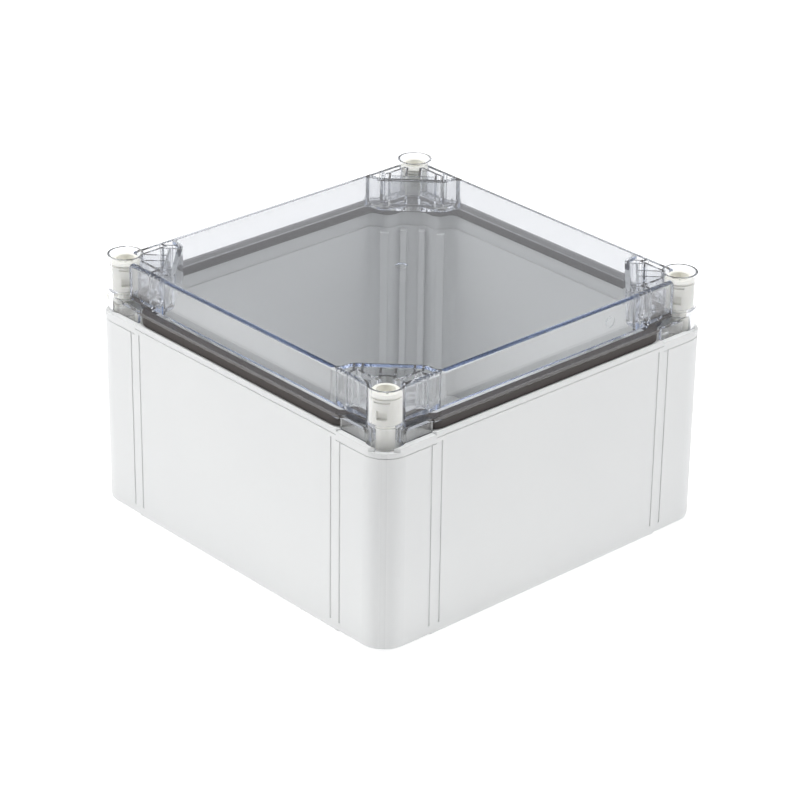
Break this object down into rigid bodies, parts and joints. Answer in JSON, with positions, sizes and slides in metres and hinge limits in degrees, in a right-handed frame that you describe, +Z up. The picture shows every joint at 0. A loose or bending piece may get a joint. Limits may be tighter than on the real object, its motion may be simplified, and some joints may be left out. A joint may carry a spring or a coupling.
{
  "type": "hinged polycarbonate enclosure",
  "caption": "Deep square wall enclosure with a clear domed lid that swings up on hinge screws in its rear corner tubes and is held shut by quarter-turn lock screws in front.",
  "frame": {"origin": "middle of the underside", "axes": "+Z up through the lid, +Y to the hinge side, -Y the front with the lock screws, +X to the right seen from the front"},
  "size_m": [0.28, 0.28, 0.176],
  "materials": {
    "grey_polycarbonate": "fine satin light grey moulding",
    "clear_polycarbonate": "polished clear moulding",
    "seal_foam": "dark grey foamed seal",
    "white_polyamide": "warm white moulding",
    "pin_steel": "plain steel pin"
  },
  "bodies": {
    "base": {"base_shell": "grey_polycarbonate", "hinge_shank_left": "white_polyamide", "hinge_shank_right": "white_polyamide", "hinge_pin_left": "pin_steel", "hinge_pin_right": "pin_steel"},
    "lid": {"lid_shell": "clear_polycarbonate", "gasket": "seal_foam", "hinge_head_left": "white_polyamide", "hinge_head_right": "white_polyamide"},
    "lock_left": {"lock_screw_left": "white_polyamide"},
    "lock_right": {"lock_screw_right": "white_polyamide"}
  },
  "joints": [
    {"name": "lid_hinge", "type": "hinge", "parent": "base", "child": "lid", "pos_m": [0, 0.137, 0.1425], "axis": [-1, 0, 0], "range_deg": [0, 105]},
    {"name": "lock_turn_left", "type": "hinge", "parent": "lid", "child": "lock_left", "pos_m": [-0.125, -0.125, 0.15], "axis": [0, 0, 1], "range_deg": [0, 90]},
    {"name": "lock_turn_right", "type": "hinge", "parent": "lid", "child": "lock_right", "pos_m": [0.125, -0.125, 0.15], "axis": [0, 0, 1], "range_deg": [0, 90]}
  ]
}
